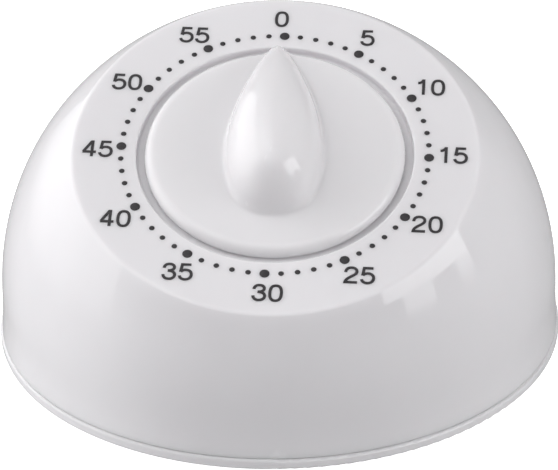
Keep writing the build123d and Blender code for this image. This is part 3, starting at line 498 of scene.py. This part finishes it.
def housing_shell(material):
    """The whole moulding as one closed skin: recess, dial, dome, skirt and the inside of the wall."""
    wall_foot = RECESS_DEPTH - RECESS_CORNER
    floor_circles = (SHAFT_HOLE, SHAFT_HOLE + SHAFT_LIP, RECESS_RADIUS / 2)
    profile = [(radius, -RECESS_DEPTH) for radius in floor_circles]
    profile += arc((RECESS_RADIUS - RECESS_CORNER, -wall_foot), RECESS_CORNER, -90, 0, 4)
    profile += arc((RECESS_RADIUS + RECESS_EDGE, -RECESS_EDGE), RECESS_EDGE, 180, 90, 5)
    edge = dial_edge_circle()
    profile += [(share(RECESS_RADIUS, edge, amount), 0) for amount in DIAL_CIRCLES]
    lean = degrees(atan2(edge, DIAL_DISTANCE - DIAL_EDGE_RADIUS))
    profile += arc((edge, -DIAL_EDGE_RADIUS), DIAL_EDGE_RADIUS, 90, 90 - lean, 8)[:-1]
    rows = [flat_row(radius, height) for radius, height in profile]
    rows += dome_rows(0, DOME_ROWS)
    inner = dome_rows(WALL, DOME_ROWS // 2)
    rows.append(foot_row(rows[-1]))
    rows += inner[::-1]
    back = RECESS_DEPTH + WALL
    cup = RECESS_RADIUS + WALL
    rows += [flat_row(cup + CUP_CHAMFER, -WALL), flat_row(cup, -WALL - CUP_CHAMFER)]
    rows += [flat_row(cup, -back), flat_row(SHAFT_HOLE, -back)]
    points = [point for row in rows for point in row]
    faces = [face[::-1] for face in ring_faces(len(rows), HOUSING_STEPS, closed=True)]
    shell = add_piece("housing_shell", points, faces, DIAL, "case", material)
    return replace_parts(shell, "upper_housing")


def foot_row(outer):
    """Points round the skirt's foot, a little inside the outer wall to soften its corner."""
    to_dial = DIAL.inverted() @ STANDING
    shrink = 1 - SKIRT_EDGE / SKIRT_RADIUS
    row = []
    for point in outer:
        standing = STANDING.inverted() @ DIAL @ point
        row.append(to_dial @ Vector((standing.x * shrink, standing.y * shrink, RIM_TOP)))
    return row


def tube(outer, bore, low, high, at):
    """A post with a bore, its foot chamfered inside and out."""
    profile = [(outer, low + SOFT_EDGE), (outer, high), (bore, high), (bore, low + SOFT_EDGE)]
    profile += [(bore + SOFT_EDGE, low), (outer - SOFT_EDGE, low)]
    return revolved(profile, TUBE_STEPS, at)


def housing_posts(material):
    """Four posts that the base screws cut into, from the skirt's foot up to the inside of the dome."""
    reach = DOME_RADIUS - WALL / 2
    top = DOME_CENTRE.z + sqrt(reach**2 - (POST_CIRCLE + POST_RADIUS) ** 2)
    places = [polar(POST_CIRCLE, angle) for angle in POST_ANGLES]
    points, faces = joined([tube(POST_RADIUS, POST_BORE, RIM_TOP, top, at) for at in places])
    return add_piece("housing_posts", points, faces, STANDING, "case", material)


def recess_bosses(material):
    """Three short bosses under the recess, which the movement's front plate sits on."""
    places = [polar(BOSS_CIRCLE, angle) for angle in BOSS_ANGLES]
    back = RECESS_DEPTH + WALL
    points, faces = joined([tube(BOSS_RADIUS, BOSS_BORE, -BOSS_BACK, -back, at) for at in places])
    return add_piece("recess_bosses", points, faces, DIAL, "case", material)


# --- Knob -----------------------------------------------------------------------------------------
def curve_point(corners, amount):
    """A point on a cubic curve."""
    rest = 1 - amount
    weights = (rest**3, 3 * rest * rest * amount, 3 * rest * amount * amount, amount**3)
    return tuple(sum(w * corner[axis] for w, corner in zip(weights, corners)) for axis in (0, 1))


def grip_outline(step):
    """The grip's footprint: curves from its widest places to the tip and to the tail."""
    quarter = KNOB_STEPS // 4
    ahead, near_tip = TIP_HANDLES
    behind, near_tail = TAIL_HANDLES
    widest = (GRIP_HALF_WIDTH, GRIP_WIDEST)
    tip_curve = (widest, (GRIP_HALF_WIDTH, GRIP_WIDEST + ahead), (near_tip, GRIP_TIP), (0, GRIP_TIP))
    tail_curve = (widest, (GRIP_HALF_WIDTH, GRIP_WIDEST - behind), (near_tail, GRIP_TAIL), (0, GRIP_TAIL))
    side = 1 if step <= quarter or step > 3 * quarter else -1
    if step <= 2 * quarter:
        amount = 1 - abs(step - quarter) / quarter
        x, y = curve_point(tip_curve, amount)
    else:
        amount = 1 - abs(step - 3 * quarter) / quarter
        x, y = curve_point(tail_curve, amount)
    return Vector((side * x, y))


def disc_height(radius):
    turn = KNOB_RADIUS - EDGE_ROUND
    return CROWN_HEIGHT - (CROWN_HEIGHT - SHOULDER_HEIGHT) * (radius / turn) ** 2


def crest_height(y):
    reach = (y - CREST_BACK) / (GRIP_TIP + CREST_PAST_TIP - CREST_BACK)
    return CREST_TIP_HEIGHT + (CREST_HEIGHT - CREST_TIP_HEIGHT) * (1 - reach * reach)


def larger(first, second, blend):
    """The larger of two lengths, with a rounded change from one to the other."""
    return (first + second + sqrt((first - second) ** 2 + blend * blend)) / 2


def knob_spoke(step):
    """Points from the grip's crest down its flank, out over the disc and back under it to the bore."""
    outline = grip_outline(step)
    fillet = share(GRIP_FILLET, TIP_FILLET, smooth_step((outline.y - TIP_FILLET_FROM) / TIP_FILLET_RUN))
    foot = outline - outline.normalized() * fillet * FILLET_INSET
    along = (foot.y - GRIP_TAIL) / (GRIP_TIP - GRIP_TAIL)
    crest = Vector((0, share(CREST_BACK, CREST_FRONT, along)))
    root = disc_height(foot.length)
    rise = crest_height(foot.y) - root
    lowest = max(fillet / rise, radians(FLANK_FOOT))
    points = []
    for row in range(GRIP_ROWS):
        angle = share(radians(FLANK_TOP), lowest, row / (GRIP_ROWS - 1))
        at = crest + (foot - crest) * cos(angle)
        points.append(Vector((at.x, at.y, root + (crest_height(at.y) - root) * sin(angle))))
    flank_foot = Vector((points[-1].x, points[-1].y))
    outward = flank_foot.normalized()
    slope = Vector(((foot - crest).length * sin(lowest), -rise * cos(lowest)))
    points += fillet_points(points[-1], outward, slope, fillet)
    inner = flank_foot.length + fillet
    return points + disc_points(outward, inner)


def fillet_points(start, outward, slope, fillet):
    """Points from the flank's foot, in the line of its slope, out to where the fillet meets the disc."""
    flank_foot = Vector((start.x, start.y))
    low = disc_height(flank_foot.length + fillet)
    on_flank, on_disc = FILLET_HANDLES
    ahead = slope.normalized() * fillet * on_flank
    curve = ((0, start.z), (ahead.x, start.z + ahead.y), (fillet * on_disc, low), (fillet, low))
    points = []
    for row in range(1, FILLET_ROWS + 1):
        reach, height = curve_point(curve, row / FILLET_ROWS)
        points.append(Vector((*(flank_foot + outward * reach), height)))
    return points


def disc_points(outward, inner):
    """Points out over the disc from the fillet, round its edge, down its rim and under it to the bore."""
    rim = larger(KNOB_RADIUS, inner + BEAK_MARGIN, BEAK_BLEND)
    edge = max(EDGE_LEAST, -larger(-EDGE_ROUND, -(rim - inner) * EDGE_SHARE, EDGE_BLEND))
    points = []
    for row in range(1, DISC_ROWS + 1):
        radius = share(inner, rim - edge, row / DISC_ROWS)
        points.append(Vector((*(outward * radius), disc_height(radius))))
    shoulder = points[-1].z
    for row in range(1, EDGE_ROWS + 1):
        angle = pi / 2 * row / EDGE_ROWS
        radius = rim - edge + edge * sin(angle)
        points.append(Vector((*(outward * radius), shoulder - edge * (1 - cos(angle)))))
    for radius, height in low_rim(rim) + knob_underside():
        points.append(Vector((*(outward * radius), height)))
    return points


def low_rim(rim):
    """Profile of the rim's foot, where the beak under the tip runs back into the circle."""
    upper, lower = RIM_HEIGHTS
    return [
        (share(KNOB_RADIUS, rim, RIM_BEAK_LEFT), upper - KNOB_SKIRT),
        (KNOB_RADIUS, lower - KNOB_SKIRT),
        (KNOB_RADIUS - RIM_CHAMFER, -KNOB_SKIRT),
    ]


def knob_underside():
    """Profile of the hollow underside, from the rim's foot in to the hub and up its bore."""
    inner = KNOB_RADIUS - KNOB_WALL
    under = CROWN_HEIGHT - KNOB_WALL
    return [
        (inner + RIM_CHAMFER, -KNOB_SKIRT),
        (inner, RIM_CHAMFER - KNOB_SKIRT),
        (inner - UNDERSIDE_DRAFT, under - UNDERSIDE_FALL),
        (HUB_RADIUS + HUB_FILLET, under),
        (HUB_RADIUS, under - HUB_FILLET),
        (HUB_RADIUS, HUB_CHAMFER - HUB_DEPTH),
        (HUB_RADIUS - HUB_CHAMFER, -HUB_DEPTH),
        (BORE_RADIUS + HUB_CHAMFER, -HUB_DEPTH),
        (BORE_RADIUS, HUB_CHAMFER - HUB_DEPTH),
        (BORE_RADIUS, BORE_TOP),
    ]


def knob_piece(material):
    """The knob as one closed skin: grip, fillet, disc, rounded edge, rim, underside and bore."""
    spokes = [knob_spoke(step) for step in range(KNOB_STEPS)]
    rows = len(spokes[0])
    points = [spokes[step][row] for row in range(rows) for step in range(KNOB_STEPS)]
    faces = [face[::-1] for face in ring_faces(rows, KNOB_STEPS)]
    faces += crest_faces()
    points.append(Vector((0, 0, BORE_TOP)))
    last = (rows - 1) * KNOB_STEPS
    for step in range(KNOB_STEPS):
        faces.append((len(points) - 1, last + step, last + (step + 1) % KNOB_STEPS)[::-1])
    knob = add_piece(
        "knob_moulding", points, faces, DIAL @ turned(KNOB_ANGLE), "winding", material
    )
    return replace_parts(knob, "knob")


def crest_faces():
    """Faces across the narrow strip along the grip's crest, between its left and right sides."""
    quarter = KNOB_STEPS // 4
    faces = []
    for count in range(2 * quarter):
        right, right_after = quarter - count, quarter - count - 1
        left, left_after = quarter + count, quarter + count + 1
        corners = [right % KNOB_STEPS, left % KNOB_STEPS, left_after % KNOB_STEPS, right_after % KNOB_STEPS]
        faces.append(tuple(dict.fromkeys(corners)))
    return faces


# --- Dial print -----------------------------------------------------------------------------------
def dots(name, material, minutes, radius):
    """Round ink dots with a softened edge, standing a hair above the dial."""
    outline = [(radius, -INK_HEIGHT), (radius, INK_HEIGHT * DOT_SHOULDER), (radius * DOT_TOP, INK_HEIGHT)]
    solids = []
    for minute in minutes:
        at = polar(DOT_CIRCLE, 90 - 6 * minute)
        points = revolved(outline, DOT_STEPS, at)[0]
        faces = ring_faces(len(outline), DOT_STEPS)
        faces.append(tuple(range(DOT_STEPS))[::-1])
        faces.append(tuple(range((len(outline) - 1) * DOT_STEPS, len(outline) * DOT_STEPS)))
        solids.append((points, faces))
    points, faces = joined(solids)
    return add_piece(name, points, faces, DIAL @ turned(PRINT_ANGLE), "case", material)


# Each digit is drawn by the middle line of its strokes, in shares of its height, x from its own
# middle. A stroke starts at a point and goes on in lines (one point) or curves (three points).
DIGITS = {
    "1": [
        [(0.07, 0.0), [(0.07, 1.0)]],
        [(0.05, 0.94), [(0.0, 0.80), (-0.10, 0.755), (-0.21, 0.75)]],
    ],
    "2": [
        [
            (-0.27, 0.66),
            [(-0.27, 0.85), (-0.15, 0.942), (0.005, 0.942)],
            [(0.155, 0.942), (0.262, 0.85), (0.262, 0.705)],
            [(0.262, 0.53), (0.0, 0.43), (-0.15, 0.29)],
            [(-0.225, 0.22), (-0.268, 0.15), (-0.28, 0.058)],
            [(0.30, 0.058)],
        ],
    ],
    "3": [
        [
            (-0.255, 0.695),
            [(-0.25, 0.86), (-0.145, 0.942), (-0.005, 0.942)],
            [(0.135, 0.942), (0.235, 0.87), (0.235, 0.75)],
            [(0.235, 0.62), (0.13, 0.545), (-0.075, 0.545)],
        ],
        [
            (-0.075, 0.535),
            [(0.17, 0.535), (0.277, 0.44), (0.277, 0.295)],
            [(0.277, 0.14), (0.16, 0.045), (0.0, 0.045)],
            [(-0.165, 0.045), (-0.27, 0.14), (-0.28, 0.31)],
        ],
    ],
    "4": [
        [(0.125, 0.0), [(0.125, 1.0)]],
        [(0.09, 0.955), [(-0.295, 0.30)]],
        [(-0.335, 0.285), [(0.32, 0.285)]],
    ],
    "5": [
        [(0.25, 0.942), [(-0.185, 0.942)], [(-0.245, 0.49)]],
        [
            (-0.235, 0.50),
            [(-0.16, 0.60), (-0.08, 0.625), (0.0, 0.625)],
            [(0.17, 0.625), (0.285, 0.51), (0.285, 0.34)],
            [(0.285, 0.16), (0.16, 0.045), (-0.01, 0.045)],
            [(-0.16, 0.045), (-0.265, 0.12), (-0.283, 0.265)],
        ],
    ],
    "0": [
        [
            (0.0, 0.945),
            [(0.20, 0.945), (0.275, 0.78), (0.275, 0.495)],
            [(0.275, 0.21), (0.20, 0.045), (0.0, 0.045)],
            [(-0.20, 0.045), (-0.275, 0.21), (-0.275, 0.495)],
            [(-0.275, 0.78), (-0.20, 0.945), (0.0, 0.945)],
        ],
    ],
}


def stroke_line(stroke):
    """A stroke's middle line as points, and whether it runs back to its start."""
    line = [stroke[0]]
    for part in stroke[1:]:
        if len(part) == 1:
            line.append(part[0])
        else:
            corners = (line[-1], *part)
            line += [curve_point(corners, (step + 1) / CURVE_STEPS) for step in range(CURVE_STEPS)]
    closed = (Vector(line[0]) - Vector(line[-1])).length < 1e-6
    return (line[:-1] if closed else line), closed


def stroke_solid(stroke, middle, height):
    """A flat ribbon of ink along a stroke, mitred where it turns a corner."""
    line, closed = stroke_line(stroke)
    line = [Vector(middle) + Vector(point) * DIGIT_HEIGHT for point in line]
    count = len(line)
    left, right = [], []
    for index, point in enumerate(line):
        before = line[index - 1] if index or closed else None
        after = line[(index + 1) % count] if index + 1 < count or closed else None
        directions = [(point - before).normalized()] if before else []
        directions += [(after - point).normalized()] if after else []
        heading = sum(directions, Vector((0, 0))).normalized()
        side = Vector((-heading.y, heading.x))
        across = Vector((-directions[0].y, directions[0].x))
        reach = DIGIT_STROKE / 2 * min(MITRE_LIMIT, 1 / max(0.1, side.dot(across)))
        left.append(point + side * reach)
        right.append(point - side * reach)
    points = [(*point, z) for z in (-INK_HEIGHT, height) for point in left + right]
    faces = []
    for index in range(count if closed else count - 1):
        after = (index + 1) % count
        low = (index, after, count + after, count + index)
        faces.append(low)
        faces.append(tuple(2 * count + corner for corner in low[::-1]))
        faces.append((after, index, 2 * count + index, 2 * count + after))
        faces.append((count + index, count + after, 3 * count + after, 3 * count + index))
    if not closed:
        faces.append((0, count, 3 * count, 2 * count))
        faces.append((2 * count - 1, count - 1, 3 * count - 1, 4 * count - 1))
    return points, faces


def numbers(material):
    """The numbers 0 to 55, all upright, each beside its five-minute dot."""
    solids = []
    for minute in range(0, 60, 5):
        text = str(minute)
        centre = Vector(polar(NUMBER_CIRCLE, 90 + NUMBER_LEAD - 6 * minute))
        for place, digit in enumerate(text):
            shift = DIGIT_ADVANCE * (place - (len(text) - 1) / 2)
            middle = centre + Vector((shift, -DIGIT_HEIGHT / 2))
            for layer, stroke in enumerate(DIGITS[digit]):
                solids.append(stroke_solid(stroke, middle, INK_HEIGHT * (1 + LAYER_RISE * layer)))
    points, faces = joined(solids)
    return add_piece("dial_numbers", points, faces, DIAL @ turned(PRINT_ANGLE), "case", material)


# --- Feet -----------------------------------------------------------------------------------------
def rubber_pads(material):
    """Four round pads with softened edges and a shallow dished face, in the base plate's pockets."""
    solids = []
    for angle in PAD_ANGLES:
        profile = [(PAD_MIDDLE, PAD_HIGH), (PAD_RADIUS, PAD_HIGH), (PAD_RADIUS, PAD_LOW + PAD_EDGE)]
        profile += arc((PAD_RADIUS - PAD_EDGE, PAD_LOW + PAD_EDGE), PAD_EDGE, 0, -90, 4)[1:]
        profile.append((PAD_RADIUS - PAD_LIP, PAD_LOW))
        profile.append((PAD_RADIUS - PAD_LIP - PAD_DISH_SLOPE, PAD_LOW + PAD_DISH))
        profile.append((PAD_MIDDLE, PAD_LOW + PAD_DISH))
        solids.append(revolved(profile[::-1], PAD_STEPS, polar(PAD_CIRCLE, angle)))
    points, faces = joined(solids)
    pads = add_piece("rubber_pads", points, faces, STANDING, "case", material)
    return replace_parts(pads, "rubber_feet")


# --- Scene ----------------------------------------------------------------------------------------
def direction(azimuth, elevation):
    turn, lift = radians(azimuth), radians(elevation)
    return Vector((sin(turn) * cos(lift), -cos(turn) * cos(lift), sin(lift)))


def area_light(name, width, height, radiance, place, facing):
    """A rectangular light that shines against the direction called facing."""
    light = bpy.data.lights.new(name, "AREA")
    light.shape = "RECTANGLE"
    light.size, light.size_y = width, height
    light.energy = radiance * pi * width * height
    lamp = bpy.data.objects.new(name, light)
    lamp.location = place
    lamp.rotation_euler = facing.to_track_quat("Z", "Y").to_euler()
    bpy.context.scene.collection.objects.link(lamp)
    return light


def window(name, azimuths, elevations, radiance, fade):
    """An upright light that fills these angles as seen from the timer, sharp-edged but for its foot."""
    left, right = azimuths
    low, high = (LIGHT_DISTANCE * tan(radians(elevation)) for elevation in elevations)
    width = 2 * LIGHT_DISTANCE * tan(radians(right - left) / 2)
    away = direction((left + right) / 2, 0)
    place = away * LIGHT_DISTANCE + Vector((0, 0, DIAL_CENTRE.z + (low + high) / 2))
    nodes, links, split = place_on_light(area_light(name, width, high - low, radiance, place, away))
    strength = spread(nodes, links, split.outputs["Y"], 0.0, 1.0, 0.0, fade)
    links.new(strength, nodes["Emission"].inputs["Strength"])


def softbox(name, azimuth, elevation, width, height, radiance):
    """A feathered light that faces the timer."""
    away = direction(azimuth, elevation)
    feather(area_light(name, width, height, radiance, away * LIGHT_DISTANCE, away))


def place_on_light(light):
    """Gives a light nodes, among them one whose X and Y run from 0 to 1 across it and up it."""
    light.use_nodes = True
    nodes, links = light.node_tree.nodes, light.node_tree.links
    geometry = nodes.new("ShaderNodeNewGeometry")
    split = nodes.new("ShaderNodeSeparateXYZ")
    links.new(geometry.outputs["Parametric"], split.inputs["Vector"])
    return nodes, links, split


def feather(light):
    """Makes an area light fade from full in its middle to nothing at its edges."""
    nodes, links, split = place_on_light(light)
    shares = []
    for axis in ("X", "Y"):
        rest = nodes.new("ShaderNodeMath")
        rest.operation = "SUBTRACT"
        rest.inputs[0].default_value = 1.0
        links.new(split.outputs[axis], rest.inputs[1])
        shares += [split.outputs[axis], rest.outputs["Value"]]
    value = shares[0]
    for other in shares[1:]:
        product = nodes.new("ShaderNodeMath")
        product.operation = "MULTIPLY"
        links.new(value, product.inputs[0])
        links.new(other, product.inputs[1])
        value = product.outputs["Value"]
    # In the light's middle each of the four shares is a half, so their product is 1/16.
    strength = spread(nodes, links, value, 0.0, 1.0, 0.0, 1 / 16)
    links.new(strength, nodes["Emission"].inputs["Strength"])


def add_sky():
    """Even light from above and, as if thrown back by the floor, from below."""
    world = bpy.data.worlds.new("studio")
    world.use_nodes = True
    nodes, links = world.node_tree.nodes, world.node_tree.links
    coordinates = nodes.new("ShaderNodeTexCoord")
    split = nodes.new("ShaderNodeSeparateXYZ")
    links.new(coordinates.outputs["Generated"], split.inputs["Vector"])
    strength = spread(nodes, links, split.outputs["Z"], GROUND, SKY, -0.05, 0.05)
    links.new(strength, nodes["Background"].inputs["Strength"])
    nodes["Background"].inputs["Color"].default_value = (1.0, 1.0, 1.01, 1.0)
    bpy.context.scene.world = world


def add_sweep():
    """A round white floor that curves up into a wall. Only the camera sees it, and it lights nothing."""
    profile = [(SWEEP_MIDDLE, 0), (SWEEP_RADIUS - SWEEP_CORNER, 0)]
    profile += arc((SWEEP_RADIUS - SWEEP_CORNER, SWEEP_CORNER), SWEEP_CORNER, -90, 0, 12)[1:]
    profile += [(SWEEP_RADIUS, SWEEP_HEIGHT)]
    points = revolved(profile, SWEEP_STEPS)[0]
    faces = [face[::-1] for face in ring_faces(len(profile), SWEEP_STEPS)]
    faces.append(tuple(range(SWEEP_STEPS)))
    mesh = bpy.data.meshes.new("studio_sweep")
    mesh.from_pydata(points, [], faces)
    mesh.shade_smooth()
    mesh.materials.append(sweep_paint())
    sweep = bpy.data.objects.new("studio_sweep", mesh)
    sweep.visible_diffuse = False
    sweep.visible_glossy = False
    sweep.visible_transmission = False
    sweep.visible_shadow = False
    bpy.context.scene.collection.objects.link(sweep)


def add_camera():
    camera = bpy.data.cameras.new("camera")
    camera.lens = CAMERA_LENS
    camera.clip_start, camera.clip_end = 0.01, 100.0
    holder = bpy.data.objects.new("camera", camera)
    back = direction(CAMERA_AZIMUTH, CAMERA_ELEVATION)
    flat_right = Vector((0, 0, 1)).cross(back).normalized()
    straight_up = back.cross(flat_right)
    roll = radians(CAMERA_ROLL)
    right = flat_right * cos(roll) - straight_up * sin(roll)
    up = flat_right * sin(roll) + straight_up * cos(roll)
    turn = Matrix((right, up, back)).transposed().to_4x4()
    holder.matrix_world = Matrix.Translation(CAMERA_TARGET + back * CAMERA_DISTANCE) @ turn
    bpy.context.scene.collection.objects.link(holder)
    bpy.context.scene.camera = holder


def dress_cad_nodes(materials):
    """Gives every CAD node that still shows the material of its slot."""
    for node in frame["nodes"].values():
        for slot in node.material_slots:
            slot.material = materials[slot.material.name.split(".")[0]]


materials = slot_materials()
dress_cad_nodes(materials)
housing_shell(materials["housing_white"])
housing_posts(materials["housing_white"])
recess_bosses(materials["housing_white"])
knob_piece(materials["knob_white"])
dial_ink = ink()
dots("minute_dots", dial_ink, [minute for minute in range(60) if minute % 5], DOT_RADIUS)
dots("five_minute_dots", dial_ink, range(0, 60, 5), BIG_DOT_RADIUS)
numbers(dial_ink)
rubber_pads(materials["foot_rubber"])
add_sweep()
add_sky()
for name, values in WINDOWS.items():
    window(name, *values)
for name, values in SOFTBOXES.items():
    softbox(name, *values)
add_camera()
bpy.context.scene.view_settings.view_transform = "Standard"
